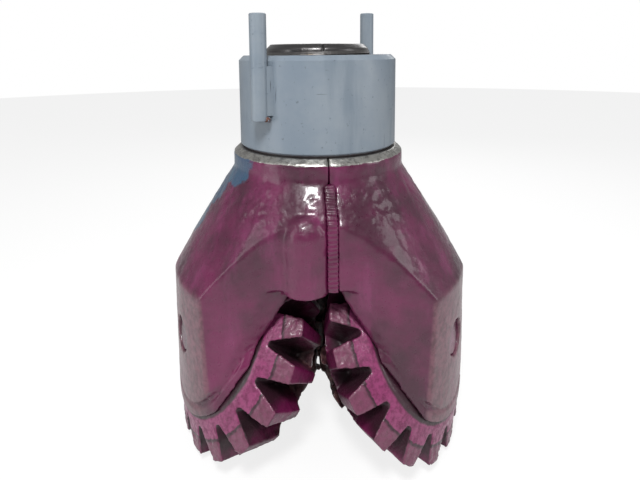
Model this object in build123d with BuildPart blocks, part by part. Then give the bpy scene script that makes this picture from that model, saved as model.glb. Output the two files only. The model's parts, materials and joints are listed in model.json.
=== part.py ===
from build123d import *
from math import asin, atan, cos, degrees, floor, pi, radians, sin, sqrt, tan
import os

# Three-cone rotary drill bit, 15-1/2 inch, with milled steel teeth, its pin thread up.
# The origin is the centre of the pin's shoulder face, +Z runs up the bit's axis to the pin.
# Lengths are millimetres and angles are degrees.

# ---- whole bit -------------------------------------------------------------------------
leg_count = 3
first_leg_angle = 90.0          # direction of leg 1 seen from above, from +X
gauge_radius = 196.85           # half of the hole's diameter
leg_relief = 1.2                # legs stand this far inside the gauge

# ---- pin, shoulder and body ------------------------------------------------------------
pin_length = 133.35
pin_base_radius = 88.9          # over the thread crests, at the shoulder
pin_taper = 0.25                # loss of diameter per length
thread_height = 3.75            # the pin is made to the thread's root
pin_nose_chamfer = 6.0
shoulder_face_radius = 106.4
flange_radius = 114.3
flange_bevel = 6.5
flange_height = 26.6
cone_shoulder_bottom = 154.0    # depth where the sloping shoulder meets the gauge
ceiling_depth = 144.0           # underside of the body, over the cones
seam_turn = 7.5                 # the joints between legs lie this far past half way
facet_distance = 139.0          # flat sides, from the bit's axis
facet_depth = 70.0              # depth at which that distance holds
facet_tilt = 2.5

# ---- water course ----------------------------------------------------------------------
bore_radius = 47.6
bore_depth = 62.0
chamber_radius = 66.0
chamber_depth = 92.0
chamber_floor_depth = 110.0
passage_radius = 13.0

# ---- nozzles ---------------------------------------------------------------------------
boss_radius = 28.0
boss_distance = 125.0           # boss centre, out from the axis
boss_offset = 12.5              # and sideways from half way between two legs
boss_shoulder_depth = 84.0      # where its round top starts
boss_drop = 6.0                 # boss ends this far under the ceiling
seat_radius = 16.7              # bore that takes the nozzle
seat_length = 34.0
nozzle_length = 25.0
nozzle_clearance = 0.1
outlet_radius = 7.15
inlet_radius = 12.0
outlet_land = 8.0
ring_height = 5.0               # retaining ring
ring_bore_radius = 11.0
ring_gap = 0.3
o_ring_wire = 1.75              # radius of the rubber
o_ring_groove_depth = 3.5
o_ring_drop = 9.0               # groove centre under the seat

# ---- journals, set along each journal's axis from where it nears the bit's axis --------
journal_tilt = 33.0
journal_depth = 336.0           # depth of that point under the shoulder face
journal_offset = 2.0            # sideways miss of the two axes
arm_face = 173.5                # leg's machined face round the journal
shirttail_radius = 77.0
shirttail_flange_radius = 89.5
shirttail_flange = 1.8
shirttail_bevel = 6.0
arm_top_width = 192.0
arm_top_height = 100.0
arm_reach = 110.0
journal_flange_radius = 60.8
roller_race_radius = 46.0
roller_radius = 8.0
roller_length = 37.0
roller_end = 162.0              # outer end of the roller channel
ball_radius = 9.5
ball_circle = 50.0
ball_place = 106.0
ball_land_radius = 46.0
cone_ball_bore = 52.0
pilot_radius = 27.0
pilot_start = 94.0
pilot_end = 65.0
bush_wall = 5.0
button_radius = 20.0
button_thickness = 6.0
fit = 0.05                      # running clearance of bearings, on the radius
side_play = 0.4                 # running clearance along the journal
face_gap = 1.0                  # cone's back face to the leg

# ---- ball plug and its cap -------------------------------------------------------------
plug_radius = 10.0
plug_fit = 0.1
plug_slope = 27.0               # slope of the ball hole to the journal
cap_radius = 21.0
cap_thickness = 12.0
cap_recess = 5.0
cap_clearance = 0.05

# ---- cones -----------------------------------------------------------------------------
cone_back_radius = 91.0
back_bevel = 3.0
back_slope = 1.25               # slope of the gauge face at the back
tip_slope = 1.03                # inner tooth crests: radius per distance
heel_outer = (143.0, 129.0)     # place and radius of the heel crests on the gauge
heel_end_depth = 36.0           # of the gaps there
heel_teeth = 16
heel_tooth_angle = 18.0
row_flank_run = 6.0
valley_drop = 1.0               # valleys between rows lie this far under the gaps' floors

# Inner rows, from the nose out: where each starts and ends along the journal, how tall its
# teeth are, how many there are, the width of their crests and the angle between their flanks.
cone_rows = [
    [(28.0, 46.0, 9.5, 6, 6.0, 38.0), (60.0, 80.0, 19.0, 8, 6.0, 38.0)],
    [(16.0, 30.0, 3.5, 4, 5.0, 10.0), (46.0, 68.0, 17.0, 7, 6.0, 38.0)],
    [(36.0, 50.0, 12.0, 6, 6.0, 38.0), (64.0, 80.0, 19.0, 9, 6.0, 38.0)],
]
# Inner end of each cone's heel row: place, radius, depth of its gaps and width of its crests.
heel_rows = [(107.0, 102.5, 25.0, 16.0), (93.0, 108.0, 36.0, 10.4), (107.0, 102.5, 25.0, 16.0)]
nose_face = [(18.0, 8.0), (-2.0, 4.5), (25.0, 9.0)]   # place and radius of each nose
cone_turns = [0.0, -8.75, 0.0]  # how far each cone stands turned about its journal

# ---- legs' joint: weld and dowels ------------------------------------------------------
weld_width = 12.0
weld_depth = 7.0
weld_crown = 0.8
weld_top_gap = 3.0              # between the weld and the flange
dowel_radius = 8.0
dowel_length = 36.0
dowel_fit = 0.03
dowel_places = [(84.0, -52.0), (98.0, -131.0)]          # out from the axis, height

# ---- thread protector and its lifting bars ---------------------------------------------
protector_radius = 104.6
protector_height = 119.3
protector_foot_chamfer = 4.5
protector_top_chamfer = 6.0
protector_thread_room = 1.2     # to the thread crests
bar_radius = 10.0
bar_length = 125.0
bar_chamfer = 1.0
front_bar_angle, front_bar_foot = 234.5, 43.0
rear_bar_angle, rear_bar_foot = 49.5, 55.0
bar_weld_half_width = 17.0      # widest part of the two beads, over the protector
bar_weld_margin = 6.0

# ---- worked out from the sizes above ---------------------------------------------------
leg_radius = gauge_radius - leg_relief
roller_circle = roller_race_radius + roller_radius + fit
cone_race_radius = roller_circle + roller_radius + fit
roller_start = roller_end - roller_length - 2 * side_play
roller_count = floor(pi / asin((roller_radius + fit) / roller_circle))
ball_count = floor(pi / asin((ball_radius + fit) / ball_circle))
bush_outer = pilot_radius + fit + bush_wall
cone_back = arm_face - face_gap
leg_angles = [first_leg_angle + n * 360 / leg_count for n in range(leg_count)]

os.makedirs("parts", exist_ok=True)


def save(builder, name):
    """Label a finished piece and write its STEP file."""
    builder.part.label = name
    export_step(builder.part, f"parts/{name}.step")


def at_angle(distance, angle, height=0.0):
    """Point at a distance from the bit's axis, in a direction seen from above."""
    return Vector(distance * cos(radians(angle)), distance * sin(radians(angle)), height)


def upright(angle):
    """Plane through the bit's axis: x runs outward in that direction and y up."""
    return Plane(origin=(0, 0, 0), x_dir=at_angle(1, angle), z_dir=at_angle(1, angle - 90))


def outward(leg_angle):
    """Direction of a journal's axis, out and up to the leg's back."""
    return at_angle(cos(radians(journal_tilt)), leg_angle, sin(radians(journal_tilt)))


def journal_start(leg_angle):
    return at_angle(-journal_offset, leg_angle + 90, -journal_depth)


def journal_axis(leg_angle):
    return Axis(journal_start(leg_angle), outward(leg_angle))


def journal_section(leg_angle, turn=0.0):
    """Plane through a journal's axis: x runs out along it and y away from it.

    With no turn, y points down to the bottom of the hole.
    """
    side = at_angle(1, leg_angle + 90)
    normal = side.rotate(Axis((0, 0, 0), outward(leg_angle)), turn)
    return Plane(origin=journal_start(leg_angle), x_dir=outward(leg_angle), z_dir=normal)


def journal_cross(leg_angle, place):
    """Plane square to a journal's axis: y points up the leg."""
    start = journal_start(leg_angle) + outward(leg_angle) * place
    return Plane(origin=start, x_dir=at_angle(1, leg_angle + 90), z_dir=outward(leg_angle))


def shoulder_radius(depth):
    """Radius of the body's sloping shoulder at a depth."""
    slope = (leg_radius - flange_radius) / (cone_shoulder_bottom - flange_height)
    return flange_radius + (depth - flange_height) * slope


pin_root_radius = pin_base_radius - thread_height
pin_nose_radius = pin_root_radius - pin_length * pin_taper / 2
boss_turn = degrees(atan(boss_offset / boss_distance))
boss_centre_distance = sqrt(boss_distance**2 + boss_offset**2)
boss_face = -ceiling_depth - boss_drop
seat_top = boss_face + seat_length
ring_top = seat_top - nozzle_length - ring_gap


def boss_place(leg_angle, height=0.0):
    """Centre of a leg's nozzle boss, on the near side of its joint with the next leg."""
    return at_angle(boss_centre_distance, leg_angle + 60 - boss_turn, height)


ball_shoulder = ball_place + ball_radius + 1


def race_arc(land_radius):
    """Three points on the ball race, where it cuts a land and at its middle."""
    race_radius = ball_radius + fit
    depth = ball_circle - land_radius
    half_width = sqrt(race_radius**2 - depth**2)
    bottom = ball_circle - race_radius if depth > 0 else ball_circle + race_radius
    return [(ball_place - half_width, land_radius), (ball_place, bottom),
            (ball_place + half_width, land_radius)]


race_point = (ball_place, -ball_circle)
race_distance = (ball_place * cos(radians(journal_tilt))
                 - ball_circle * sin(radians(journal_tilt)))
hole_exit = (leg_radius - race_distance) / cos(radians(journal_tilt - plug_slope))
cap_seat = hole_exit - cap_recess - cap_thickness


def hole_plane(leg_angle, distance):
    """Plane square to a leg's ball hole, a distance out from the middle of the ball race."""
    direction = at_angle(cos(radians(journal_tilt - plug_slope)), leg_angle,
                         sin(radians(journal_tilt - plug_slope)))
    start = journal_section(leg_angle).from_local_coords(Vector(*race_point, 0))
    return Plane(origin=start + direction * distance, z_dir=direction)


def facet_radius(depth):
    """Distance from the bit's axis to a flat side, along the joint of two legs."""
    distance = facet_distance + (depth - facet_depth) * tan(radians(facet_tilt))
    return distance / cos(radians(seam_turn))


def seam_band(depth, crown=0.0):
    """Outline along the body's surface at a joint, from its crown down to a depth."""
    slope = (leg_radius - flange_radius) / (cone_shoulder_bottom - flange_height)
    lean = tan(radians(facet_tilt)) / cos(radians(seam_turn))
    knee = (facet_radius(0) - shoulder_radius(0)) / (slope - lean)
    top = flange_height + weld_top_gap
    surface = [
        (shoulder_radius(top), -top),
        (shoulder_radius(knee), -knee),
        (facet_radius(ceiling_depth), -ceiling_depth),
    ]
    outside = [(distance + crown, height) for distance, height in surface]
    inside = [(distance - depth, height) for distance, height in reversed(surface)]
    return outside + inside


# ---- legs: a third of the pin and body, an arm and its journal -------------------------
for number, angle in enumerate(leg_angles, start=1):
    seam_start = angle + seam_turn - 60

    with BuildPart() as outer_form:
        with BuildSketch(upright(seam_start)):
            with BuildLine():
                Polyline(
                    (0, 0),
                    (flange_radius, -flange_bevel),
                    (flange_radius, -flange_height),
                    (leg_radius, -cone_shoulder_bottom),
                    (leg_radius, -journal_depth),
                    (0, -journal_depth),
                    close=True,
                )
            make_face()
        revolve(axis=Axis.Z, revolution_arc=360 / leg_count)

    with BuildPart() as arm:
        with BuildSketch(journal_cross(angle, arm_face)):
            Circle(shirttail_radius)
            with BuildLine():
                Polyline(
                    (-shirttail_radius, 0),
                    (shirttail_radius, 0),
                    (arm_top_width / 2, arm_top_height),
                    (arm_top_width / 2, 2 * arm_top_height),
                    (-arm_top_width / 2, 2 * arm_top_height),
                    (-arm_top_width / 2, arm_top_height),
                    close=True,
                )
            make_face()
        extrude(amount=arm_reach)
        with BuildSketch(journal_section(angle)):
            with BuildLine():
                Polyline(
                    (arm_face, 0),
                    (arm_face, shirttail_flange_radius),
                    (arm_face + shirttail_flange, shirttail_flange_radius),
                    (arm_face + shirttail_flange + shirttail_bevel,
                     shirttail_flange_radius - shirttail_bevel),
                    (arm_face + shirttail_flange + shirttail_bevel, 0),
                    close=True,
                )
            make_face()
        revolve(axis=journal_axis(angle))
        add(outer_form.part, mode=Mode.INTERSECT)

    with BuildPart() as leg_blank:
        with BuildSketch(upright(seam_start)):
            with BuildLine():
                Polyline(
                    (0, -ceiling_depth),
                    (0, pin_length),
                    (pin_nose_radius - pin_nose_chamfer, pin_length),
                    (pin_nose_radius, pin_length - pin_nose_chamfer),
                    (pin_root_radius, 0),
                    (shoulder_face_radius, 0),
                    (flange_radius, -flange_bevel),
                    (flange_radius, -flange_height),
                    (shoulder_radius(ceiling_depth), -ceiling_depth),
                    close=True,
                )
            make_face()
        revolve(axis=Axis.Z, revolution_arc=360 / leg_count)
        add(arm.part)
        for side in (-60, 60):
            tilt = radians(facet_tilt)
            flat = Plane(
                origin=at_angle(facet_distance, angle + side, -facet_depth),
                x_dir=at_angle(1, angle + side + 90),
                z_dir=at_angle(cos(tilt), angle + side, sin(tilt)),
            )
            split(bisect_by=flat, keep=Keep.BOTTOM)

        # nozzle boss: an upright column with a round top
        with BuildSketch(Plane(origin=boss_place(angle), x_dir=at_angle(1, angle),
                               z_dir=at_angle(1, angle - 90))):
            with BuildLine():
                Line((0, boss_face), (boss_radius, boss_face))
                Line((boss_radius, boss_face), (boss_radius, -boss_shoulder_depth))
                RadiusArc((boss_radius, -boss_shoulder_depth),
                          (0, -boss_shoulder_depth + boss_radius), -boss_radius)
                Line((0, -boss_shoulder_depth + boss_radius), (0, boss_face))
            make_face()
        revolve(axis=Axis(boss_place(angle), (0, 0, 1)))

        # water course: bore down the pin, then a round chamber
        with BuildSketch(upright(seam_start)):
            with BuildLine():
                Polyline((0, pin_length), (bore_radius, pin_length), (bore_radius, -bore_depth),
                         (chamber_radius, -chamber_depth))
                ThreePointArc((chamber_radius, -chamber_depth),
                              (0.6 * chamber_radius, -chamber_floor_depth + 4),
                              (0, -chamber_floor_depth))
                Line((0, -chamber_floor_depth), (0, pin_length))
            make_face()
        revolve(axis=Axis.Z, revolution_arc=360 / leg_count, mode=Mode.SUBTRACT)

        # nozzle seat with its seal groove, and the passage that feeds it
        with BuildSketch(Plane(origin=boss_place(angle), x_dir=at_angle(1, angle),
                               z_dir=at_angle(1, angle - 90))):
            with BuildLine():
                Polyline((0, boss_face), (seat_radius, boss_face), (seat_radius, seat_top),
                         (passage_radius, seat_top), (0, seat_top + passage_radius), close=True)
            make_face()
            with Locations((seat_radius, seat_top - o_ring_drop)):
                Rectangle(2 * o_ring_groove_depth, 2 * o_ring_wire + 0.6)
        revolve(axis=Axis(boss_place(angle), (0, 0, 1)), mode=Mode.SUBTRACT)
        inlet = at_angle(bore_radius / 2, angle + 60 - boss_turn, -bore_depth - 20)
        outlet = boss_place(angle, seat_top + 2)
        with BuildSketch(Plane(origin=inlet, z_dir=outlet - inlet)):
            Circle(passage_radius)
        extrude(amount=(outlet - inlet).length, mode=Mode.SUBTRACT)

        # journal: flange, roller race, ball race and pilot
        with BuildSketch(journal_section(angle)):
            with BuildLine():
                Polyline(
                    race_arc(ball_land_radius)[0],
                    (pilot_start, ball_land_radius),
                    (pilot_start, pilot_radius),
                    (pilot_end + 1, pilot_radius),
                    (pilot_end, pilot_radius - 1),
                    (pilot_end, 0),
                    (arm_face + 1, 0),
                    (arm_face + 1, journal_flange_radius),
                    (roller_end, journal_flange_radius),
                    (roller_end, roller_race_radius),
                    (roller_start, roller_race_radius),
                    (roller_start, journal_flange_radius),
                    (ball_shoulder, journal_flange_radius),
                    (ball_shoulder, ball_land_radius),
                    race_arc(ball_land_radius)[2],
                )
                ThreePointArc(*race_arc(ball_land_radius))
            make_face()
        revolve(axis=journal_axis(angle))

    # ball hole, cap seat, dowel holes and the groove for the seam weld
    with BuildPart() as leg:
        add(leg_blank.part)
        with BuildSketch(hole_plane(angle, 0)):
            Circle(plug_radius + plug_fit)
        extrude(amount=hole_exit, mode=Mode.SUBTRACT)
        with BuildSketch(hole_plane(angle, cap_seat)):
            Circle(cap_radius + cap_clearance)
        extrude(amount=hole_exit, mode=Mode.SUBTRACT)
        for seam in (angle + seam_turn - 60, angle + seam_turn + 60):
            with BuildSketch(upright(seam)):
                for distance, height in dowel_places:
                    with Locations((distance, height)):
                        Circle(dowel_radius + dowel_fit)
            extrude(amount=dowel_length / 2 + dowel_fit, both=True, mode=Mode.SUBTRACT)
            with BuildSketch(upright(seam)):
                with BuildLine():
                    Polyline(*seam_band(weld_depth, weld_width / 2), close=True)
                make_face()
            extrude(amount=weld_width / 2, both=True, mode=Mode.SUBTRACT)
    save(leg, f"leg_{number}")

    with BuildPart() as ball_plug:
        with BuildSketch(hole_plane(angle, 0)):
            Circle(plug_radius)
        extrude(amount=cap_seat - side_play)
        add(leg_blank.part, mode=Mode.INTERSECT)
    save(ball_plug, f"ball_plug_{number}")

    with BuildPart() as plug_cap:
        with BuildSketch(hole_plane(angle, cap_seat)):
            Circle(cap_radius)
        extrude(amount=cap_thickness)
        chamfer(plug_cap.edges().filter_by(GeomType.CIRCLE).sort_by(Axis(
            hole_plane(angle, 0).origin, hole_plane(angle, 0).z_dir))[-1], 1.5)
    save(plug_cap, f"ball_plug_cap_{number}")

    with BuildPart() as seam_weld:
        with BuildSketch(upright(angle + seam_turn + 60)):
            with BuildLine():
                Polyline(*seam_band(weld_depth, weld_crown), close=True)
            make_face()
        extrude(amount=weld_width / 2, both=True)
    save(seam_weld, f"seam_weld_{number}")


# ---- dowels that line the legs up ------------------------------------------------------
with BuildPart() as leg_dowels:
    for angle in leg_angles:
        with BuildSketch(upright(angle + seam_turn + 60)):
            for distance, height in dowel_places:
                with Locations((distance, height)):
                    Circle(dowel_radius)
        extrude(amount=dowel_length / 2, both=True)
save(leg_dowels, "leg_dowels")


# ---- nozzles, their seals and retaining rings ------------------------------------------
for number, angle in enumerate(leg_angles, start=1):
    boss_axis = Axis(boss_place(angle), (0, 0, 1))
    boss_section = Plane(origin=boss_place(angle), x_dir=at_angle(1, angle),
                         z_dir=at_angle(1, angle - 90))
    nozzle_outer = seat_radius - nozzle_clearance

    with BuildPart() as nozzle:
        with BuildSketch(boss_section):
            with BuildLine():
                Polyline(
                    (outlet_radius, seat_top - nozzle_length),
                    (nozzle_outer, seat_top - nozzle_length),
                    (nozzle_outer, seat_top),
                    (inlet_radius, seat_top),
                )
                inlet_curve = Line((inlet_radius, seat_top),
                                   (outlet_radius, seat_top - nozzle_length + outlet_land))
                Line(inlet_curve @ 1, (outlet_radius, seat_top - nozzle_length))
            make_face()
        revolve(axis=boss_axis)
    save(nozzle, f"nozzle_{number}")

    with BuildPart() as nozzle_seal:
        with BuildSketch(boss_section):
            with Locations((nozzle_outer + o_ring_wire, seat_top - o_ring_drop)):
                Circle(o_ring_wire)
        revolve(axis=boss_axis)
    save(nozzle_seal, f"nozzle_o_ring_{number}")

    with BuildPart() as retaining_ring:
        with BuildSketch(boss_section):
            with BuildLine():
                Polyline(
                    (ring_bore_radius, ring_top - ring_height),
                    (nozzle_outer, ring_top - ring_height),
                    (nozzle_outer, ring_top),
                    (ring_bore_radius, ring_top),
                    close=True,
                )
            make_face()
        revolve(axis=boss_axis)
    save(retaining_ring, f"nozzle_ring_{number}")


# ---- cones: turned blanks with the tooth gaps milled out -------------------------------
def crest_radius(place):
    """Radius of the inner rows' crests at a place along the journal."""
    return tip_slope * place


def valley_radius(place, tooth_height):
    """Radius of the valley beside a row of teeth."""
    return crest_radius(place) - (tooth_height + valley_drop) * sqrt(1 + tip_slope**2)


def blank_outline(nose, rows, heel):
    """Outside of a cone from its nose to its back face, as (place, radius) points."""
    outline = [(nose[0], 0), nose]
    for start, end, tooth_height, *_ in rows:
        before, after = start - row_flank_run, end + row_flank_run
        if before > nose[0]:
            outline.append((before, valley_radius(before, tooth_height)))
        outline += [(start, crest_radius(start)), (end, crest_radius(end))]
        outline.append((after, valley_radius(after, tooth_height)))
    start, radius, depth, _ = heel
    slope = (heel_outer[1] - radius) / (heel_outer[0] - start)
    drop = (depth + valley_drop) * sqrt(1 + slope**2)
    outline.append((start - row_flank_run, radius - row_flank_run * slope - drop))
    outline += [(start, radius), heel_outer]
    outline.append((cone_back - back_bevel, cone_back_radius + back_bevel * back_slope))
    outline.append((cone_back, cone_back_radius - back_bevel))
    return outline


def row_gaps(leg_angle, turn, start, end, depths, teeth, crest, tooth_angle, overrun):
    """Cutters for the gaps of one row of teeth: each runs along its floor.

    start and end are the ends of a crest, and the depths are those of the gap there.
    """
    crest_line = (Vector(*end) - Vector(*start)).normalized()
    inward = Vector(crest_line.Y, -crest_line.X)
    floor_start = Vector(*start) + inward * depths[0]
    floor_end = Vector(*end) + inward * depths[1]
    flank = tan(radians(tooth_angle / 2 + 180 / teeth))
    floor_width = start[1] * sin(pi / teeth) - crest / 2 - depths[0] * flank
    height = max(depths) + 2 * row_flank_run
    planes = []
    for tooth in range(teeth):
        section = journal_section(leg_angle, turn + (tooth + 0.5) * 360 / teeth)
        corner = section.from_local_coords(floor_start)
        along = (section.from_local_coords(floor_end) - corner).normalized()
        planes.append(Plane(origin=corner - along * row_flank_run, x_dir=section.z_dir,
                            z_dir=along))
    with BuildPart() as gaps:
        with BuildSketch(*planes):
            with BuildLine():
                Polyline(
                    (-floor_width, 0),
                    (floor_width, 0),
                    (floor_width + height * flank, -height),
                    (-floor_width - height * flank, -height),
                    close=True,
                )
            make_face()
        extrude(amount=(floor_end - floor_start).length + row_flank_run + overrun)
    return gaps.part


for number, angle in enumerate(leg_angles, start=1):
    rows = cone_rows[number - 1]
    turn = cone_turns[number - 1]
    heel = heel_rows[number - 1]
    gaps = [
        row_gaps(angle, turn, (start, crest_radius(start)), (end, crest_radius(end)),
                 (depth, depth), *tooth, row_flank_run)
        for start, end, depth, *tooth in rows
    ]
    gaps.append(row_gaps(angle, turn, heel[:2], heel_outer, (heel[2], heel_end_depth),
                         heel_teeth, heel[3], heel_tooth_angle, 2 * heel_end_depth))
    with BuildPart() as cone:
        with BuildSketch(journal_section(angle)):
            with BuildLine():
                Polyline(
                    race_arc(cone_ball_bore)[0],
                    (pilot_start - side_play, cone_ball_bore),
                    (pilot_start - side_play, bush_outer),
                    (pilot_end - side_play, bush_outer),
                    (pilot_end - side_play, button_radius),
                    (pilot_end - side_play - button_thickness, button_radius),
                    (pilot_end - side_play - button_thickness, 0),
                    *blank_outline(nose_face[number - 1], rows, heel),
                    (cone_back, cone_race_radius),
                    (ball_shoulder - side_play, cone_race_radius),
                    (ball_shoulder - side_play, cone_ball_bore),
                    race_arc(cone_ball_bore)[2],
                )
                ThreePointArc(*race_arc(cone_ball_bore))
            make_face()
        revolve(axis=journal_axis(angle))
        for row in gaps:
            add(row, mode=Mode.SUBTRACT)
    save(cone, f"cone_{number}")

    # bearings between the cone and its journal
    with BuildPart() as nose_bush:
        with BuildSketch(journal_cross(angle, pilot_end + side_play)):
            Circle(bush_outer)
            Circle(pilot_radius + fit, mode=Mode.SUBTRACT)
        extrude(amount=pilot_start - pilot_end - 2 * side_play - 1)
    save(nose_bush, f"nose_bush_{number}")

    with BuildPart() as thrust_button:
        with BuildSketch(journal_cross(angle, pilot_end - side_play - button_thickness)):
            Circle(button_radius)
        extrude(amount=button_thickness + side_play / 2)
    save(thrust_button, f"thrust_button_{number}")

    with BuildPart() as main_rollers:
        with BuildSketch(journal_cross(angle, roller_start + side_play)):
            with PolarLocations(roller_circle, roller_count):
                Circle(roller_radius)
        extrude(amount=roller_length)
    save(main_rollers, f"main_rollers_{number}")

    with BuildPart() as lock_balls:
        for ball in range(ball_count):
            section = journal_section(angle, ball * 360 / ball_count)
            with Locations(section.from_local_coords(Vector(ball_place, ball_circle, 0))):
                Sphere(ball_radius)
    save(lock_balls, f"lock_balls_{number}")


# ---- thread protector and the bars that lift it ----------------------------------------
def protector_bore(height):
    """Radius of the protector's tapered bore, clear of the pin's thread."""
    return pin_base_radius + protector_thread_room - height * pin_taper / 2


with BuildPart() as thread_protector:
    with BuildSketch(Plane.XZ):
        with BuildLine():
            Polyline(
                (protector_bore(0), 0),
                (protector_radius - protector_foot_chamfer, 0),
                (protector_radius, protector_foot_chamfer),
                (protector_radius, protector_height - protector_top_chamfer),
                (protector_radius - protector_top_chamfer, protector_height),
                (protector_bore(protector_height), protector_height),
                close=True,
            )
        make_face()
    revolve(axis=Axis.Z)
save(thread_protector, "thread_protector")

bar_centre = protector_radius + bar_radius
for name, angle, foot in (
    ("front", front_bar_angle, front_bar_foot),
    ("rear", rear_bar_angle, rear_bar_foot),
):
    with BuildPart() as lift_bar:
        with BuildSketch(Plane(origin=at_angle(bar_centre, angle, foot))):
            Circle(bar_radius)
        extrude(amount=bar_length)
        chamfer(lift_bar.edges().filter_by(GeomType.CIRCLE), bar_chamfer)
    save(lift_bar, f"lift_bar_{name}")

    weld_foot = foot + bar_weld_margin
    weld_top = protector_height - protector_top_chamfer - bar_weld_margin
    with BuildPart() as bar_weld:
        with BuildSketch(Plane(origin=at_angle(0, angle, weld_foot), x_dir=at_angle(1, angle),
                               z_dir=(0, 0, 1))):
            with BuildLine():
                Polyline(
                    (protector_radius - bar_radius, -bar_weld_half_width),
                    (bar_centre - 0.3 * bar_radius, -0.9 * bar_radius),
                    (bar_centre - 0.3 * bar_radius, 0.9 * bar_radius),
                    (protector_radius - bar_radius, bar_weld_half_width),
                    close=True,
                )
            make_face()
            Circle(protector_radius, mode=Mode.SUBTRACT)
            with Locations((bar_centre, 0)):
                Circle(bar_radius, mode=Mode.SUBTRACT)
        extrude(amount=weld_top - weld_foot)
    save(bar_weld, f"bar_weld_{name}")
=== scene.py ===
import json
from math import atan2, pi, radians, sin

import bmesh
import bpy
from bpy.props import FloatProperty, FloatVectorProperty, IntProperty, PointerProperty
from mathutils import Matrix, Vector, noise
from mathutils.bvhtree import BVHTree


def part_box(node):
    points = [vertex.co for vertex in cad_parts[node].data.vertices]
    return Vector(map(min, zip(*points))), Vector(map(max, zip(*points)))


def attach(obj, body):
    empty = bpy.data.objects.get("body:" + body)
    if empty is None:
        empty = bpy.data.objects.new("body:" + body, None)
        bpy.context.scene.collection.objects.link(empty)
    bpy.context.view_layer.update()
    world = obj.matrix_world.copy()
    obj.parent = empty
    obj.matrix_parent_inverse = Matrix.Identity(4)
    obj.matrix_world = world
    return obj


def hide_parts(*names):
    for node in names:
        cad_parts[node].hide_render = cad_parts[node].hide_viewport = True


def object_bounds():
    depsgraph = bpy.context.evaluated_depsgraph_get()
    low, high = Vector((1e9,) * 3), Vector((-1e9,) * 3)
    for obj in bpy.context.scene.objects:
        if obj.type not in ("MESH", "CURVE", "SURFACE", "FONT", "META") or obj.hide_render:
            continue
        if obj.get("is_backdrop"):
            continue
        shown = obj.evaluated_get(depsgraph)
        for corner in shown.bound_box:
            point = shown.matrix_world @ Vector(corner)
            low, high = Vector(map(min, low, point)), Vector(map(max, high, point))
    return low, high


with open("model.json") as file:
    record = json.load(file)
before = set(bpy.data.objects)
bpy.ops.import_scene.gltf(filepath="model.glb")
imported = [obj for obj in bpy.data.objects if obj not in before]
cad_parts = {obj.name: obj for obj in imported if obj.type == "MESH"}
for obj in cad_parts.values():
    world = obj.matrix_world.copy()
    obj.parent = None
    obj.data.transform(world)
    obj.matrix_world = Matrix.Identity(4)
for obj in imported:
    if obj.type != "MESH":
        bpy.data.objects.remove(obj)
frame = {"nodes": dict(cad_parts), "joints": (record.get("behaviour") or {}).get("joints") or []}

bl_info = {
    "name": "Tricone drill bit",
    "version": (1, 0, 0),
    "blender": (4, 5, 0),
    "location": "3D View > Sidebar > Drill bit",
    "description": "Dresses the packed drill bit: forged skins, teeth, thread, welds, finishes",
    "category": "Object",
}

NODES = frame["nodes"]
JOINTS = {joint["name"]: joint for joint in frame["joints"]}
LEGS = (1, 2, 3)
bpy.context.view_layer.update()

SHOULDER_FOOT = 0.154           # depth where the sloping shoulder meets the gauge
PIN_BASE_RADIUS = 0.0889
PIN_TAPER = 0.25
THREAD_HEIGHT = 0.00375
JOURNAL_CLEAR = 0.064           # cone surfaces nearer the journal stay as they are
HEEL_TIP = (0.143, 0.129)       # outer corner of the heel crests: along the journal, radius
BACK_EDGE = (0.1695, 0.09475)   # outer corner of a cone's back, the same way

# machined parts of a leg, which keep CAD's exact surface
SHOULDER_FACE = -0.0005         # the pin is above this height
BORE_REACH = 0.085
SEAT_SPAN = (0.05, 0.1825)      # along the journal
SEAT_RADIUS = 0.0915

# where a leg's uneven surface begins and ends: each pair is where it fades in or out
WAVE_START = (0.004, 0.034)     # depths below the shoulder face
BAND_TOP = (0.034, 0.042)
BAND_FOOT = (0.066, 0.078)
BAND_INSIDE = (0.105, 0.112)    # radii from the bit's axis
LEG_SINK = 0.0003               # skins lie this far inside CAD's surface
CONE_SINK = 0.0002

BEARING_START = 0.058           # along the journal
FACING_END = (0.0225, 0.0245)   # down the gauge face from the heel's outer corner
FACING_SIDE = (0.0015, 0.003)   # off the gauge face
CREST_SLOPE = 0.92              # crests of the inner rows: radius over place on the journal
CREST_FADE = (0.002, 0.012)
REAR_START = 0.03               # down the gauge face, where the cone faces its leg
REAR_LIFT, TOOTH_LIFT = 0.0008, 0.0012

SEAM_STEP = 0.0012
SEAM_INSIDE = 0.08              # the weld nearer the axis stays as it is
RIPPLE_HEIGHT, RIPPLE_PITCH = 0.00045, 0.0052

THREAD_TURNS = 17
THREAD_FOOT = 0.0145            # height of the first turn above the shoulder face

LAMPS = (                       # name, size, watts, place
    ("key", (0.35, 0.35), 26.0, (-0.10, -1.15, 1.35)),
    ("left_fill", (0.5, 1.2), 4.0, (-1.30, -0.75, 0.2)),
    ("right_fill", (0.4, 0.8), 3.0, (1.35, -0.35, 0.3)),
    ("back_fill", (1.0, 1.0), 7.0, (0.3, 1.3, 0.9)),
)
LAMP_TARGET = (0, 0, -0.14)
FLOOR_RADIUS, FLOOR_GAP = 6.0, 0.0005
FLOOR_SHADE, FLOOR_WHITE = 0.86, 0.72
SKY_SEEN, SKY_LIGHT = 0.68, 0.32   # what the camera sees on top of what lights the bit

LENS = 26.62
SHIFT = (0.0145, -0.207)
CAMERA_PLACE = (0, -0.6432, 0.1234)
ROUND_BIT = radians(1.0)        # the camera's turn round the bit's axis
PAN, DOWN, ROLL = 0.0142, 0.1172, -0.0099


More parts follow.
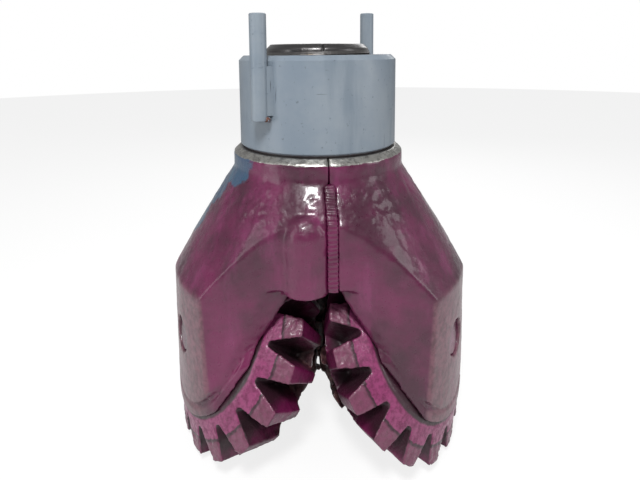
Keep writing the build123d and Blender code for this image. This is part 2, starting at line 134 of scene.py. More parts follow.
# ---- settings ----------------------------------------------------------------------------
class BitSizes(bpy.types.PropertyGroup):
    skin_step: FloatProperty(
        name="Leg skin step", description="Grid size of the forged leg skins",
        default=0.0021, unit="LENGTH")
    cone_step: FloatProperty(
        name="Cone skin step", description="Grid size of the cone skins",
        default=0.0017, unit="LENGTH")
    forging_wave: FloatProperty(
        name="Forging wave", description="Height of the uneven forged surface",
        default=0.0006, unit="LENGTH")
    hard_facing: FloatProperty(
        name="Hard facing", description="Height of the rough deposit on the teeth",
        default=0.0011, unit="LENGTH")
    thread_pitch: FloatProperty(
        name="Thread pitch", description="Distance from crest to crest of the pin thread",
        default=0.00635, unit="LENGTH")
    thread_steps: IntProperty(
        name="Thread steps", description="Steps in one turn of the thread", default=48)
    bead_height: FloatProperty(
        name="Weld bead", description="Radius of the weld bead round a bar's foot",
        default=0.0032, unit="LENGTH")


class BitColours(bpy.types.PropertyGroup):
    paint: FloatVectorProperty(
        name="Paint", description="Gloss paint on legs and cones", subtype="COLOR",
        default=(0.150, 0.008, 0.066))
    paint_dark: FloatVectorProperty(
        name="Dark paint", description="The same paint where it is thin or dirty",
        subtype="COLOR", default=(0.050, 0.004, 0.022))
    paint_worn: FloatVectorProperty(
        name="Worn paint", description="Dull paint on the backs of the legs",
        subtype="COLOR", default=(0.20, 0.085, 0.11))
    # painted light: a lighter copy of the paint, laid on the gauge faces of the cones
    lit_gauge_paint: FloatVectorProperty(
        name="Light paint", description="Fresh paint on the gauge faces of the cones",
        subtype="COLOR", default=(0.30, 0.045, 0.155))
    collar: FloatVectorProperty(
        name="Collar paint", description="Paint of the thread protector and its bars",
        subtype="COLOR", default=(0.19, 0.235, 0.285))
    bare_steel: FloatVectorProperty(
        name="Bare steel", description="Machined steel", subtype="COLOR",
        default=(0.50, 0.49, 0.46))
    # painted shade: the near-black colour laid on shaded faces between the legs and between the teeth
    shade_near_black: FloatVectorProperty(
        name="Dark steel", description="Unpainted forging scale and hard facing",
        subtype="COLOR", default=(0.016, 0.010, 0.011))
    rust: FloatVectorProperty(
        name="Rust", description="Rust on welds and edges", subtype="COLOR",
        default=(0.13, 0.04, 0.018))


def sizes():
    return bpy.context.scene.bit_sizes


def colours():
    return bpy.context.scene.bit_colours


# ---- materials ---------------------------------------------------------------------------
class Finish:
    """A node material built one node at a time, its patterns on Object coordinates."""

    def __init__(self, name, bare=(0.5, 0.5, 0.5), roughness=0.5, metallic=0.0, coat=0.0,
                 coat_roughness=0.1):
        self.material = bpy.data.materials.new(name)
        self.material.use_nodes = True
        self.tree = self.material.node_tree
        self.shader = self.tree.nodes["Principled BSDF"]
        self.shader.inputs["Base Color"].default_value = (*bare, 1)
        self.shader.inputs["Roughness"].default_value = roughness
        self.shader.inputs["Metallic"].default_value = metallic
        self.shader.inputs["Coat Weight"].default_value = coat
        self.shader.inputs["Coat Roughness"].default_value = coat_roughness
        self.place = self.node("ShaderNodeTexCoord").outputs["Object"]
        split = self.node("ShaderNodeSeparateXYZ")
        self.join(self.place, split.inputs[0])
        self.x, self.y, self.z = split.outputs

    def node(self, kind, **values):
        made = self.tree.nodes.new(kind)
        for name, value in values.items():
            setattr(made, name, value)
        return made

    def join(self, source, target):
        if isinstance(source, bpy.types.NodeSocket):
            self.tree.links.new(source, target)
        elif hasattr(source, "__len__") and len(target.default_value) == 4:
            target.default_value = (*tuple(source)[:3], 1)
        else:
            target.default_value = source

    def math(self, kind, *values, clamp=False):
        made = self.node("ShaderNodeMath", operation=kind, use_clamp=clamp)
        for value, target in zip(values, made.inputs):
            self.join(value, target)
        return made.outputs[0]

    def vector(self, kind, *values):
        made = self.node("ShaderNodeVectorMath", operation=kind)
        for value, target in zip(values, made.inputs):
            self.join(value, target)
        return made

    def scaled(self, scale):
        """Object coordinates stretched by a scale on each axis."""
        return self.vector("MULTIPLY", self.place, scale).outputs[0]

    def noise(self, scale, detail=4.0, roughness=0.55, where=None):
        made = self.node("ShaderNodeTexNoise")
        self.join(where or self.place, made.inputs["Vector"])
        made.inputs["Scale"].default_value = scale
        made.inputs["Detail"].default_value = detail
        made.inputs["Roughness"].default_value = roughness
        return made.outputs["Fac"]

    def cells(self, scale, where=None):
        made = self.node("ShaderNodeTexVoronoi")
        self.join(where or self.place, made.inputs["Vector"])
        made.inputs["Scale"].default_value = scale
        return made.outputs["Distance"]

    def step(self, value, low, high):
        """0 below low and 1 above high, or the other way round when low is the larger."""
        made = self.node("ShaderNodeMapRange", interpolation_type="SMOOTHSTEP")
        self.join(value, made.inputs["Value"])
        made.inputs["From Min"].default_value = min(low, high)
        made.inputs["From Max"].default_value = max(low, high)
        made.inputs["To Min"].default_value = 0.0 if low < high else 1.0
        made.inputs["To Max"].default_value = 1.0 if low < high else 0.0
        return made.outputs["Result"]

    def mix(self, amount, first, second):
        """Two colours mixed; the node's colour sockets are the seventh and eighth."""
        made = self.node("ShaderNodeMix", data_type="RGBA")
        self.join(amount, made.inputs["Factor"])
        self.join(first, made.inputs[6])
        self.join(second, made.inputs[7])
        return made.outputs[2]

    def blend(self, amount, first, second):
        """Two plain values mixed."""
        made = self.node("ShaderNodeMix", data_type="FLOAT")
        self.join(amount, made.inputs[0])
        self.join(first, made.inputs[2])
        self.join(second, made.inputs[3])
        return made.outputs[0]

    def radius(self):
        """Distance from the bit's axis."""
        return self.vector("LENGTH", self.scaled((1, 1, 0))).outputs["Value"]

    def nearness(self, centre, reach, fringe=0.35):
        """1 near a point and 0 past its reach, with a ragged edge."""
        apart = self.vector("DISTANCE", self.place, centre).outputs["Value"]
        ragged = self.math("MULTIPLY_ADD", self.noise(60.0, 5.0, 0.6), fringe * reach,
                           -0.5 * fringe * reach)
        return self.step(self.math("ADD", apart, ragged), reach * 1.08, reach * 0.92)

    def along(self, joint):
        """Place along a journal and distance from its axis."""
        offset = self.vector("SUBTRACT", self.place, tuple(joint["pos_m"])).outputs[0]
        place = self.vector("DOT_PRODUCT", offset, tuple(joint["axis"])).outputs["Value"]
        span = self.vector("CROSS_PRODUCT", offset, tuple(joint["axis"])).outputs[0]
        return place, self.vector("LENGTH", span).outputs["Value"]

    def bump(self, height, strength, distance, below=None):
        made = self.node("ShaderNodeBump")
        made.inputs["Strength"].default_value = strength
        made.inputs["Distance"].default_value = distance
        self.join(height, made.inputs["Height"])
        if below is not None:
            self.join(below, made.inputs["Normal"])
        return made.outputs["Normal"]

    def set(self, **sources):
        for name, source in sources.items():
            self.join(source, self.shader.inputs[name.replace("_", " ").title()])
        return self.material


def leg_paint():
    """Gloss paint over a forging: bare bevel and pin, worn backs, and painted shade on the inner
    faces.
    """
    tint = colours()
    paint = Finish("gloss_paint_on_forging", tint.paint, 0.34, coat=0.45, coat_roughness=0.12)
    radius = paint.radius()
    broad = paint.noise(9.0, 4.0, 0.6)
    fine = paint.noise(140.0, 6.0, 0.7)
    grit = paint.noise(520.0, 4.0, 0.6)
    runs = paint.noise(38.0, 5.0, 0.6, where=paint.scaled((1, 1, 0.22)))
    colour = paint.mix(paint.step(broad, 0.36, 0.66), tint.paint_dark, tint.paint)
    colour = paint.mix(paint.math("MULTIPLY", paint.step(runs, 0.50, 0.72), 0.55),
                       colour, (0.205, 0.022, 0.105))
    colour = paint.mix(paint.math("MULTIPLY", paint.step(fine, 0.60, 0.70), 0.4),
                       colour, (0.018, 0.006, 0.010))

    # dull greyer paint down the backs, where the leg rubs the ground
    back = paint.math("ADD", radius, paint.math("MULTIPLY_ADD", runs, 0.004, -0.002))
    back = paint.math("MULTIPLY", paint.step(back, 0.1915, 0.1942),
                      paint.step(paint.z, -SHOULDER_FOOT + 0.012, -SHOULDER_FOOT - 0.012))
    worn = paint.mix(paint.step(fine, 0.40, 0.62), tint.paint_worn, (0.095, 0.045, 0.055))
    colour = paint.mix(paint.math("MULTIPLY", back, 0.72), colour, worn)

    # painted shade: the faces in between the legs, under the body, darkened to near black and made
    # rougher
    between_legs_shade = paint.math("ADD", radius, paint.math("MULTIPLY_ADD", broad, 0.03, -0.015))
    between_legs_shade = paint.math("MULTIPLY", paint.step(between_legs_shade, 0.142, 0.116),
                        paint.step(paint.z, -0.146, -0.156))
    colour = paint.mix(paint.math("MULTIPLY", between_legs_shade, 0.93), colour, tint.shade_near_black)

    # blue paint from the collar on one side of the flange and down the slope
    for centre, reach in (((-0.098, -0.052, -0.012), 0.034), ((-0.122, -0.016, -0.050), 0.036),
                          ((-0.150, -0.020, -0.098), 0.026)):
        stain = paint.math("MULTIPLY", paint.nearness(centre, reach, 0.8), 0.78)
        colour = paint.mix(stain, colour, (0.020, 0.095, 0.17))

    # bare machined metal: the flange's bevel and shoulder face, and the pin
    edge = paint.math("MULTIPLY_ADD", paint.noise(75.0, 5.0, 0.65), 0.0052, -0.0026)
    height = paint.math("ADD", paint.z, edge)
    bevel = paint.math("MULTIPLY", paint.step(height, -0.0078, -0.0068),
                       paint.step(radius, 0.1168, 0.1160))
    pin = paint.step(paint.z, -0.0004, 0.0004)
    turned = paint.noise(900.0, 2.0, 0.5, where=paint.scaled((0.01, 0.01, 1)))
    steel = paint.mix(paint.step(fine, 0.42, 0.66), tint.bare_steel, (0.21, 0.20, 0.19))
    steel = paint.mix(pin, steel, paint.mix(turned, (0.050, 0.048, 0.050),
                                            (0.13, 0.125, 0.125)))
    colour = paint.mix(bevel, colour, steel)
    metallic = paint.math("MULTIPLY", bevel, 0.92)
    roughness = paint.blend(paint.step(fine, 0.35, 0.7), 0.27, 0.50)
    roughness = paint.blend(back, roughness, 0.52)
    roughness = paint.blend(between_legs_shade, roughness, 0.75)
    roughness = paint.blend(bevel, roughness, 0.34)
    bump = paint.bump(fine, 0.55, 0.0011)
    bump = paint.bump(grit, 0.30, 0.0004, bump)
    bump = paint.bump(turned, 0.08, 0.0003, bump)
    return paint.set(base_color=colour, roughness=roughness, metallic=metallic, normal=bump)


def cone_paint(number):
    """Paint on a milled cone: painted light on the gauge face, painted shade between teeth, rough
    facing.
    """
    tint = colours()
    paint = Finish(f"painted_cone_{number}", tint.paint, 0.36, coat=0.3, coat_roughness=0.15)
    place, radius = paint.along(JOINTS[f"cone_spin_{number}"])
    broad = paint.noise(22.0, 4.0, 0.6)
    fine = paint.noise(170.0, 6.0, 0.7)
    crumbs = paint.cells(420.0)
    colour = paint.mix(paint.step(broad, 0.38, 0.62), tint.paint_dark, tint.paint)
    slope = (HEEL_TIP[1] - BACK_EDGE[1]) / (BACK_EDGE[0] - HEEL_TIP[0])    # of the gauge face
    face = paint.math("MULTIPLY_ADD", place, slope, -slope * HEEL_TIP[0] - HEEL_TIP[1])
    face = paint.math("ADD", face, radius)
    gauge = paint.step(face, -0.0022, -0.0010)
    # painted light: the gauge faces get a lighter paint colour, as where light falls on them
    gauge_lit_colour = paint.mix(paint.step(fine, 0.38, 0.66), tint.lit_gauge_paint, tint.paint)
    colour = paint.mix(paint.math("MULTIPLY", gauge, 0.85), colour, gauge_lit_colour)

    # hard facing on the ends of the teeth, with a ragged dark border
    ragged = paint.math("MULTIPLY_ADD", paint.noise(120.0, 5.0, 0.7), 0.006, -0.003)
    tooth = paint.math("ADD", radius, ragged)
    facing = paint.math("MULTIPLY", gauge, paint.step(tooth, 0.1090, 0.1102))
    border = paint.math("MULTIPLY", facing, paint.step(tooth, 0.1140, 0.1108))
    colour = paint.mix(paint.math("MULTIPLY", facing, 0.55), colour, (0.115, 0.050, 0.066))
    colour = paint.mix(paint.math("MULTIPLY", border, 0.9), colour, (0.022, 0.004, 0.011))

    # painted shade: near-black between the teeth; darker and browner towards the nose
    teeth_root_shade = paint.step(paint.math("SUBTRACT", radius, paint.math("MULTIPLY", place, 0.86)),
                      0.010, -0.012)
    teeth_root_shade = paint.math("MULTIPLY", teeth_root_shade, paint.math("SUBTRACT", 1.0, gauge))
    colour = paint.mix(paint.math("MULTIPLY", teeth_root_shade, 0.80), colour, tint.shade_near_black)
    nose = paint.math("ADD", place, paint.math("MULTIPLY_ADD", broad, 0.03, -0.015))
    nose = paint.step(nose, 0.104, 0.086)
    brown = paint.mix(paint.step(fine, 0.42, 0.60), (0.022, 0.011, 0.010), (0.11, 0.055, 0.048))
    colour = paint.mix(paint.math("MULTIPLY", nose, 0.85), colour, brown)
    chips = paint.math("MULTIPLY", paint.step(fine, 0.66, 0.72), 0.7)
    colour = paint.mix(chips, colour, (0.30, 0.15, 0.19))
    roughness = paint.blend(paint.step(fine, 0.35, 0.7), 0.30, 0.58)
    bump = paint.bump(fine, 0.6, 0.0012)
    bump = paint.bump(crumbs, 0.25, 0.0006, bump)
    return paint.set(base_color=colour, roughness=roughness, normal=bump)


def collar_paint():
    """Blue-grey paint on turned steel, scuffed, with rust along its edges."""
    tint = colours()
    paint = Finish("collar_paint", tint.collar, 0.42, coat=0.15)
    radius = paint.radius()
    broad = paint.noise(11.0, 4.0, 0.6)
    fine = paint.noise(210.0, 5.0, 0.65)
    streaks = paint.noise(26.0, 4.0, 0.6, where=paint.scaled((1, 1, 0.16)))
    colour = paint.mix(paint.step(broad, 0.35, 0.68), tint.collar, (0.245, 0.285, 0.325))
    colour = paint.mix(paint.math("MULTIPLY", paint.step(streaks, 0.52, 0.72), 0.45), colour,
                       (0.115, 0.155, 0.20))
    colour = paint.mix(paint.math("MULTIPLY", paint.step(fine, 0.62, 0.70), 0.55), colour,
                       (0.07, 0.09, 0.115))
    # scratches: long and thin, upright and level
    upright = paint.noise(230.0, 3.0, 0.6, where=paint.scaled((1, 1, 0.035)))
    level = paint.noise(14.0, 3.0, 0.6, where=paint.scaled((1, 1, 26.0)))
    patchy = paint.step(paint.noise(19.0, 2.0, 0.5), 0.54, 0.60)
    scratch = paint.math("MAXIMUM", paint.step(upright, 0.685, 0.70),
                         paint.step(level, 0.70, 0.715))
    scratch = paint.math("MULTIPLY", scratch, patchy)
    colour = paint.mix(paint.math("MULTIPLY", scratch, 0.75), colour, (0.035, 0.045, 0.06))
    bore = paint.step(radius, 0.0925, 0.0905)
    colour = paint.mix(paint.math("MULTIPLY", bore, 0.7), colour, (0.09, 0.085, 0.085))
    foot = paint.step(paint.math("ADD", paint.z, paint.math("MULTIPLY", fine, 0.004)),
                      0.0056, 0.0038)
    rust = paint.mix(fine, tint.rust, (0.05, 0.022, 0.014))
    colour = paint.mix(paint.math("MULTIPLY", foot, 0.6), colour, rust)
    roughness = paint.blend(paint.step(broad, 0.3, 0.7), 0.36, 0.52)
    turned = paint.noise(650.0, 2.0, 0.5, where=paint.scaled((0.02, 0.02, 1)))
    bump = paint.bump(fine, 0.25, 0.0006)
    bump = paint.bump(turned, 0.10, 0.0003, bump)
    bump = paint.bump(paint.math("MULTIPLY", scratch, -1.0), 0.4, 0.0004, bump)
    return paint.set(base_color=colour, roughness=roughness, normal=bump)


def weld_paint():
    """Rust-brown weld metal, thinly painted over."""
    tint = colours()
    weld = Finish("rusty_weld", tint.rust, 0.6, metallic=0.15)
    fine = weld.noise(260.0, 5.0, 0.7)
    spots = weld.noise(90.0, 4.0, 0.6)
    colour = weld.mix(weld.step(fine, 0.4, 0.62), tint.rust, (0.16, 0.15, 0.16))
    colour = weld.mix(weld.step(spots, 0.50, 0.58), colour, tint.collar)
    return weld.set(base_color=colour, roughness=weld.blend(fine, 0.45, 0.8),
                    normal=weld.bump(fine, 0.6, 0.0009))


def bearing_steel():
    steel = Finish("ground_steel", (0.46, 0.46, 0.45), 0.24, metallic=1.0)
    grain = steel.noise(700.0, 3.0, 0.6)
    stain = steel.noise(45.0, 4.0, 0.6)
    colour = steel.mix(steel.step(stain, 0.45, 0.7), (0.50, 0.50, 0.49), (0.27, 0.25, 0.23))
    return steel.set(base_color=colour, roughness=steel.blend(stain, 0.18, 0.38),
                     normal=steel.bump(grain, 0.08, 0.0003))


def bearing_bronze():
    bronze = Finish("bored_bronze", (0.55, 0.33, 0.14), 0.3, metallic=1.0)
    grain = bronze.noise(600.0, 3.0, 0.6)
    stain = bronze.noise(60.0, 4.0, 0.6)
    colour = bronze.mix(stain, (0.58, 0.36, 0.15), (0.34, 0.19, 0.08))
    return bronze.set(base_color=colour, roughness=bronze.blend(grain, 0.22, 0.40),
                      normal=bronze.bump(grain, 0.08, 0.0003))


def nozzle_carbide():
    carbide = Finish("nozzle_carbide", (0.16, 0.165, 0.175), 0.3, metallic=0.9)
    grain = carbide.noise(900.0, 3.0, 0.6)
    dust = carbide.noise(70.0, 4.0, 0.6)
    colour = carbide.mix(carbide.step(dust, 0.45, 0.7), (0.17, 0.175, 0.185),
                         (0.06, 0.045, 0.045))
    return carbide.set(base_color=colour, roughness=carbide.blend(dust, 0.25, 0.5),
                       normal=carbide.bump(grain, 0.1, 0.0002))


def seal_rubber():
    rubber = Finish("nozzle_seal", (0.012, 0.012, 0.013), 0.55)
    grain = rubber.noise(800.0, 3.0, 0.6)
    return rubber.set(base_color=rubber.mix(grain, (0.010, 0.010, 0.011), (0.025, 0.025, 0.026)),
                      roughness=rubber.blend(grain, 0.45, 0.65),
                      normal=rubber.bump(grain, 0.1, 0.0002))


def thread_steel():
    """Dark phosphated thread, its grain lighter and darker at random, with greasy patches."""
    steel = Finish("thread_steel", (0.10, 0.10, 0.10), 0.38, metallic=0.85)
    grain = steel.noise(420.0, 4.0, 0.6)
    grease = steel.noise(40.0, 4.0, 0.6)
    colour = steel.mix(grain, (0.07, 0.068, 0.07), (0.19, 0.185, 0.18))
    colour = steel.mix(steel.step(grease, 0.5, 0.7), colour, (0.05, 0.035, 0.022))
    return steel.set(base_color=colour, roughness=steel.blend(grease, 0.28, 0.5),
                     normal=steel.bump(grain, 0.12, 0.0003))


def dress(thing, material):
    thing.data.materials.clear()
    thing.data.materials.append(material)


# ---- shared modelling --------------------------------------------------------------------
def add_piece(name, bm, body, material, smooth=True):
    mesh = bpy.data.meshes.new(name)
    for face in bm.faces:
        face.smooth = smooth
    bm.to_mesh(mesh)
    bm.free()
    piece = bpy.data.objects.new(name, mesh)
    bpy.context.scene.collection.objects.link(piece)
    dress(piece, material)
    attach(piece, body)
    return piece


def regular_skin(node, step):
    """A bmesh of a CAD node rebuilt as an even grid of small faces, and its exact surface."""
    source = bmesh.new()
    source.from_mesh(NODES[node].data)
    bmesh.ops.remove_doubles(source, verts=source.verts, dist=1e-6)
    exact = BVHTree.FromBMesh(source)
    mesh = bpy.data.meshes.new("skin")
    source.to_mesh(mesh)
    source.free()
    holder = bpy.data.objects.new("skin", mesh)
    bpy.context.scene.collection.objects.link(holder)
    grid = holder.modifiers.new("grid", "REMESH")
    grid.mode = "VOXEL"
    grid.voxel_size = step
    shape = holder.evaluated_get(bpy.context.evaluated_depsgraph_get())
    skin = bmesh.new()
    skin.from_mesh(shape.to_mesh())
    shape.to_mesh_clear()
    bpy.data.objects.remove(holder)
    bpy.data.meshes.remove(mesh)
    return skin, exact


def soften(skin, verts, rounds):
    for _ in range(rounds):
        bmesh.ops.smooth_vert(skin, verts=verts, factor=0.5, use_axis_x=True, use_axis_y=True,
                              use_axis_z=True)


def seat(verts, exact):
    """Put points back on the exact surface."""
    for vert in verts:
        nearest, *_ = exact.find_nearest(vert.co)
        if nearest is not None:
            vert.co = nearest


def ramp(value, low, high):
    part = min(1.0, max(0.0, (value - low) / (high - low)))
    return part * part * (3 - 2 * part)


def rough(point, scale, octaves=3):
    return noise.fractal(point * scale, 0.9, 2.0, octaves, noise_basis="PERLIN_ORIGINAL")


def on_journal(point, joint):
    """Place along a journal and distance from its axis, for a point."""
    offset = point - Vector(joint["pos_m"])
    place = offset.dot(Vector(joint["axis"]))
    return place, (offset - Vector(joint["axis"]) * place).length


# ---- pieces ------------------------------------------------------------------------------
class BIT_OT_leg_skins(bpy.types.Operator):
    """Forged skins for the three legs, softly rounded and uneven outside"""
    bl_idname = "bit.leg_skins"
    bl_label = "Leg skins"

    def execute(self, context):
        paint = leg_paint()
        wave = sizes().forging_wave
        for number in LEGS:
            joint = JOINTS[f"cone_spin_{number}"]
            skin, exact = regular_skin(f"leg_{number}", sizes().skin_step)
            outer, kept = [], []
            for vert in skin.verts:
                place, away = on_journal(vert.co, joint)
                span = vert.co.xy.length
                seated = SEAT_SPAN[0] < place < SEAT_SPAN[1] and away < SEAT_RADIUS
                machined = vert.co.z > SHOULDER_FACE or span < BORE_REACH or seated
                (kept if machined else outer).append(vert)
            seat(kept, exact)
            soften(skin, outer, 4)
            skin.normal_update()
            moves = []
            for vert in outer:
                span, depth = vert.co.xy.length, -vert.co.z
                below = ramp(depth, *WAVE_START)
                hammered = ramp(depth, *BAND_TOP) * (1 - ramp(depth, *BAND_FOOT))
                hammered *= ramp(span, *BAND_INSIDE)
                lift = wave * rough(vert.co, 26) * below + 0.4 * wave * rough(vert.co, 110)
                lift += 0.0009 * hammered * rough(vert.co + Vector((3, 1, 2)), 75, 4)
                moves.append((vert, vert.normal * (lift - LEG_SINK)))
            for vert, move in moves:
                vert.co += move
            piece = add_piece(f"leg_skin_{number}", skin, "bit_body", paint)
            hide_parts(f"leg_{number}")
        return {"FINISHED"}


class BIT_OT_cone_skins(bpy.types.Operator):
    """Milled cones with rounded edges and rough hard facing on the ends of their teeth"""
    bl_idname = "bit.cone_skins"
    bl_label = "Cone skins"

    def execute(self, context):
        facing = sizes().hard_facing
        run = Vector((BACK_EDGE[0] - HEEL_TIP[0], BACK_EDGE[1] - HEEL_TIP[1])).normalized()
        for number in LEGS:
            joint = JOINTS[f"cone_spin_{number}"]
            skin, exact = regular_skin(f"cone_{number}", sizes().cone_step)
            outer, kept = [], []
            for vert in skin.verts:
                place, away = on_journal(vert.co, joint)
                bearing = away < JOURNAL_CLEAR and place > BEARING_START
                (kept if bearing else outer).append(vert)
            seat(kept, exact)
            soften(skin, outer, 2)
            skin.normal_update()
            moves = []
            for vert in outer:
                place, away = on_journal(vert.co, joint)
                from_tip = Vector((place - HEEL_TIP[0], away - HEEL_TIP[1]))
                down_face = from_tip.dot(run)
                off_face = abs(from_tip.x * -run.y + from_tip.y * run.x)
                ragged = 0.004 * noise.noise(vert.co * 90)
                patch = 1 - ramp(down_face + ragged, *FACING_END)
                patch *= 1 - ramp(off_face, *FACING_SIDE)
                tip = ramp(away - CREST_SLOPE * place, *CREST_FADE) * 0.5
                lift = facing * (patch * (0.35 + 0.8 * rough(vert.co, 150, 4))
                                 + tip * rough(vert.co, 120, 3))
                lift += 0.00035 * rough(vert.co, 45)
                limit = REAR_LIFT if down_face > REAR_START else TOOTH_LIFT
                moves.append((vert, vert.normal * min(lift - CONE_SINK, limit)))
            for vert, move in moves:
                vert.co += move
            piece = add_piece(f"cone_skin_{number}", skin, f"cone_unit_{number}",
                              cone_paint(number))
            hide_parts(f"cone_{number}")
        return {"FINISHED"}


class BIT_OT_seam_beads(bpy.types.Operator):
    """Rippled weld beads down the joints between the legs"""
    bl_idname = "bit.seam_beads"
    bl_label = "Seam beads"

    def execute(self, context):
        paint = leg_paint_material()
        for number in LEGS:
            skin, _ = regular_skin(f"seam_weld_{number}", SEAM_STEP)
            outer = [vert for vert in skin.verts if vert.co.xy.length > SEAM_INSIDE]
            soften(skin, outer, 3)
            skin.normal_update()
            moves = []
            for vert in outer:
                wave = noise.noise(vert.co * 60)
                turn = 2 * pi * (vert.co.z + 0.0015 * wave) / RIPPLE_PITCH
                ripple = RIPPLE_HEIGHT * sin(turn)
                moves.append((vert, vert.normal * (ripple + 0.0005 * rough(vert.co, 80))))
            for vert, move in moves:
                vert.co += move
            piece = add_piece(f"seam_bead_{number}", skin, "bit_body", paint)
            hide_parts(f"seam_weld_{number}")
        return {"FINISHED"}


def leg_paint_material():
    return bpy.data.materials.get("gloss_paint_on_forging") or leg_paint()


class BIT_OT_pin_thread(bpy.types.Operator):
    """The coarse tapered thread round the pin"""
    bl_idname = "bit.pin_thread"
    bl_label = "Pin thread"

    def execute(self, context):
        pitch, steps = sizes().thread_pitch, sizes().thread_steps
        root = PIN_BASE_RADIUS - THREAD_HEIGHT
        bm = bmesh.new()
        outline = [(root - 0.0006, -0.45), (root, -0.42), (PIN_BASE_RADIUS - 0.0008, -0.13),
                   (PIN_BASE_RADIUS - 0.0004, 0.0), (PIN_BASE_RADIUS - 0.0008, 0.13),
                   (root, 0.42), (root - 0.0006, 0.45)]
        ring = [bm.verts.new((radius, 0, THREAD_FOOT + across * pitch)) for radius, across in outline]
        section = bm.faces.new(ring)
        bmesh.ops.spin(bm, geom=[section, *section.edges, *section.verts], cent=(0, 0, 0),
                       axis=(0, 0, 1), dvec=(0, 0, pitch / steps),
                       angle=2 * pi * THREAD_TURNS, steps=THREAD_TURNS * steps,
                       use_merge=False)
        bmesh.ops.recalc_face_normals(bm, faces=bm.faces)
        length = THREAD_TURNS * pitch
        for vert in bm.verts:
            climb = (vert.co.z - THREAD_FOOT) / length
            fade = ramp(climb, -0.02, 0.05) * (1 - ramp(climb, 0.955, 1.02))
            radius = vert.co.xy.length
            height = radius - root
            reach = root + (height * fade if height > 0 else height) \
                - vert.co.z * PIN_TAPER / 2
            vert.co.xy = vert.co.xy.normalized() * reach
        add_piece("pin_thread", bm, "bit_body", thread_steel(), smooth=False)
        return {"FINISHED"}


class BIT_OT_collar_finish(bpy.types.Operator):
    """Paint on the thread protector and its bars, and a weld bead round each bar's foot"""
    bl_idname = "bit.collar_finish"
    bl_label = "Thread protector"

    def execute(self, context):
        paint = collar_paint()
        weld = weld_paint()
        for name in ("thread_protector", "lift_bar_front", "lift_bar_rear"):
            dress(NODES[name], paint)
        for end in ("front", "rear"):
            dress(NODES[f"bar_weld_{end}"], paint)
            low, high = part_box(f"lift_bar_{end}")
            centre = (low + high) / 2
            radius = (high.x - low.x) / 2
            bm = bmesh.new()
            thick = sizes().bead_height
            away = centre.xy.normalized()
            bmesh.ops.create_circle(bm, cap_ends=True, segments=12, radius=thick,
                                    matrix=Matrix.Translation((radius + 0.2 * thick, 0, 0))
                                    @ Matrix.Rotation(pi / 2, 4, "X"))
            bmesh.ops.spin(bm, geom=[*bm.faces, *bm.edges, *bm.verts], cent=(0, 0, 0),
                           axis=(0, 0, 1), angle=pi, steps=40, use_merge=False)
            bmesh.ops.recalc_face_normals(bm, faces=bm.faces)
            bmesh.ops.rotate(bm, verts=bm.verts, cent=(0, 0, 0),
                             matrix=Matrix.Rotation(atan2(away.y, away.x) + pi / 2, 3, "Z"))
            bmesh.ops.translate(bm, verts=bm.verts,
                                vec=(centre.x, centre.y, low.z + 0.6 * thick))
            bmesh.ops.subdivide_edges(bm, edges=bm.edges, cuts=1, use_grid_fill=True)
            for vert in bm.verts:
                vert.co += 0.0012 * noise.noise_vector(vert.co * 260)
            add_piece(f"bar_foot_bead_{end}", bm, "protector_unit", weld)
        return {"FINISHED"}


class BIT_OT_inner_finish(bpy.types.Operator):
    """Steel, bronze, carbide and rubber for the bearings, plugs and nozzles"""
    bl_idname = "bit.inner_finish"
    bl_label = "Bearings and nozzles"

    def execute(self, context):
        steel, bronze = bearing_steel(), bearing_bronze()
        carbide, rubber = nozzle_carbide(), seal_rubber()
        cap = leg_paint_material()
        for number in LEGS:
            for name, material in (
                ("ball_plug", steel), ("ball_plug_cap", cap), ("nozzle", carbide),
                ("nozzle_o_ring", rubber), ("nozzle_ring", steel), ("nose_bush", bronze),
                ("thrust_button", steel), ("main_rollers", steel), ("lock_balls", steel),
            ):
                dress(NODES[f"{name}_{number}"], material)
        dress(NODES["leg_dowels"], steel)
        return {"FINISHED"}


# ---- stage -------------------------------------------------------------------------------
def show_white(name, shade, white_part):
    """A pale surface that the camera sees as nearly white, with faint shadows."""
    material = bpy.data.materials.new(name)
    material.use_nodes = True
    tree = material.node_tree
    shader = tree.nodes["Principled BSDF"]
    shader.inputs["Base Color"].default_value = (shade, shade, shade, 1)
    shader.inputs["Roughness"].default_value = 0.9
    shader.inputs["Specular IOR Level"].default_value = 0.1
    glow = tree.nodes.new("ShaderNodeEmission")
    glow.inputs["Strength"].default_value = 1.12
    path = tree.nodes.new("ShaderNodeLightPath")
    part = tree.nodes.new("ShaderNodeMath")
    part.operation = "MULTIPLY"
    part.inputs[1].default_value = white_part
    tree.links.new(path.outputs["Is Camera Ray"], part.inputs[0])
    mix = tree.nodes.new("ShaderNodeMixShader")
    tree.links.new(part.outputs[0], mix.inputs[0])
    tree.links.new(shader.outputs[0], mix.inputs[1])
    tree.links.new(glow.outputs[0], mix.inputs[2])
    tree.links.new(mix.outputs[0], tree.nodes["Material Output"].inputs["Surface"])
    return material


def add_lamp(name, size, power, place, target):
    lamp = bpy.data.lights.new(name, "AREA")
    lamp.shape = "RECTANGLE"
    lamp.size, lamp.size_y = size
    lamp.energy = power
    thing = bpy.data.objects.new(name, lamp)
    thing.location = place
    thing.rotation_euler = (Vector(target) - Vector(place)).to_track_quat("-Z", "Y").to_euler()
    bpy.context.scene.collection.objects.link(thing)


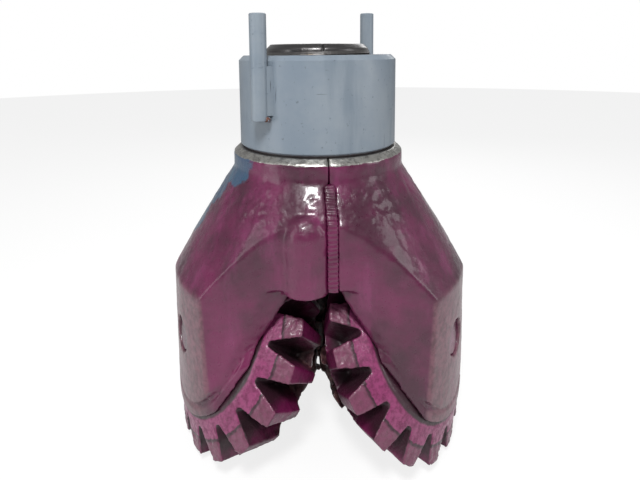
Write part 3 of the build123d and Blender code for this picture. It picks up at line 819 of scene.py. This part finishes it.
class BIT_OT_stage(bpy.types.Operator):
    """Floor, lamps, world and camera"""
    bl_idname = "bit.stage"
    bl_label = "Stage"

    def execute(self, context):
        scene = context.scene
        scene.view_settings.view_transform = "Standard"
        low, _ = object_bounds()
        bm = bmesh.new()
        bmesh.ops.create_circle(bm, cap_ends=True, segments=96,
                                radius=FLOOR_RADIUS,
                                matrix=Matrix.Translation((0, 0, low.z - FLOOR_GAP)))
        mesh = bpy.data.meshes.new("floor")
        bm.to_mesh(mesh)
        bm.free()
        floor = bpy.data.objects.new("floor", mesh)
        scene.collection.objects.link(floor)
        dress(floor, show_white("floor_white", FLOOR_SHADE, FLOOR_WHITE))
        floor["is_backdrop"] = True

        world = bpy.data.worlds.new("studio")
        world.use_nodes = True
        tree = world.node_tree
        sky = tree.nodes["Background"]
        sky.inputs["Color"].default_value = (1, 1, 1, 1)
        path = tree.nodes.new("ShaderNodeLightPath")
        seen = tree.nodes.new("ShaderNodeMath")
        seen.operation = "MAXIMUM"
        tree.links.new(path.outputs["Is Camera Ray"], seen.inputs[0])
        tree.links.new(path.outputs["Is Transmission Ray"], seen.inputs[1])
        level = tree.nodes.new("ShaderNodeMath")
        level.operation = "MULTIPLY_ADD"
        level.inputs[1].default_value = SKY_SEEN
        level.inputs[2].default_value = SKY_LIGHT
        tree.links.new(seen.outputs[0], level.inputs[0])
        tree.links.new(level.outputs[0], sky.inputs["Strength"])
        scene.world = world

        for name, size, power, place in LAMPS:
            add_lamp(name, size, power, place, LAMP_TARGET)

        view = bpy.data.cameras.new("view")
        view.sensor_width = 36.0
        view.lens = LENS
        view.shift_x, view.shift_y = SHIFT
        camera = bpy.data.objects.new("view", view)
        camera.matrix_world = (
            Matrix.Rotation(ROUND_BIT, 4, "Z")
            @ Matrix.Translation(CAMERA_PLACE)
            @ Matrix.Rotation(PAN, 4, "Z")
            @ Matrix.Rotation(pi / 2 - DOWN, 4, "X")
            @ Matrix.Rotation(ROLL, 4, "Z")
        )
        scene.collection.objects.link(camera)
        scene.camera = camera
        return {"FINISHED"}


class BIT_PT_panel(bpy.types.Panel):
    """Sizes, colours and pieces of the drill bit"""
    bl_idname = "BIT_PT_panel"
    bl_label = "Drill bit"
    bl_space_type = "VIEW_3D"
    bl_region_type = "UI"
    bl_category = "Drill bit"

    def draw(self, context):
        for group in (context.scene.bit_sizes, context.scene.bit_colours):
            column = self.layout.column(align=True)
            for name in group.__annotations__:
                column.prop(group, name)
        for operator in OPERATORS:
            self.layout.operator(operator.bl_idname)


OPERATORS = (BIT_OT_leg_skins, BIT_OT_cone_skins, BIT_OT_seam_beads, BIT_OT_pin_thread,
             BIT_OT_collar_finish, BIT_OT_inner_finish, BIT_OT_stage)
CLASSES = (BitSizes, BitColours, *OPERATORS, BIT_PT_panel)


def register():
    for cls in CLASSES:
        bpy.utils.register_class(cls)
    bpy.types.Scene.bit_sizes = PointerProperty(type=BitSizes)
    bpy.types.Scene.bit_colours = PointerProperty(type=BitColours)


def unregister():
    del bpy.types.Scene.bit_colours
    del bpy.types.Scene.bit_sizes
    for cls in reversed(CLASSES):
        bpy.utils.unregister_class(cls)


def main():
    register()
    bpy.ops.bit.leg_skins()
    bpy.ops.bit.cone_skins()
    bpy.ops.bit.seam_beads()
    bpy.ops.bit.pin_thread()
    bpy.ops.bit.collar_finish()
    bpy.ops.bit.inner_finish()
    bpy.ops.bit.stage()


if __name__ == "__main__":
    main()
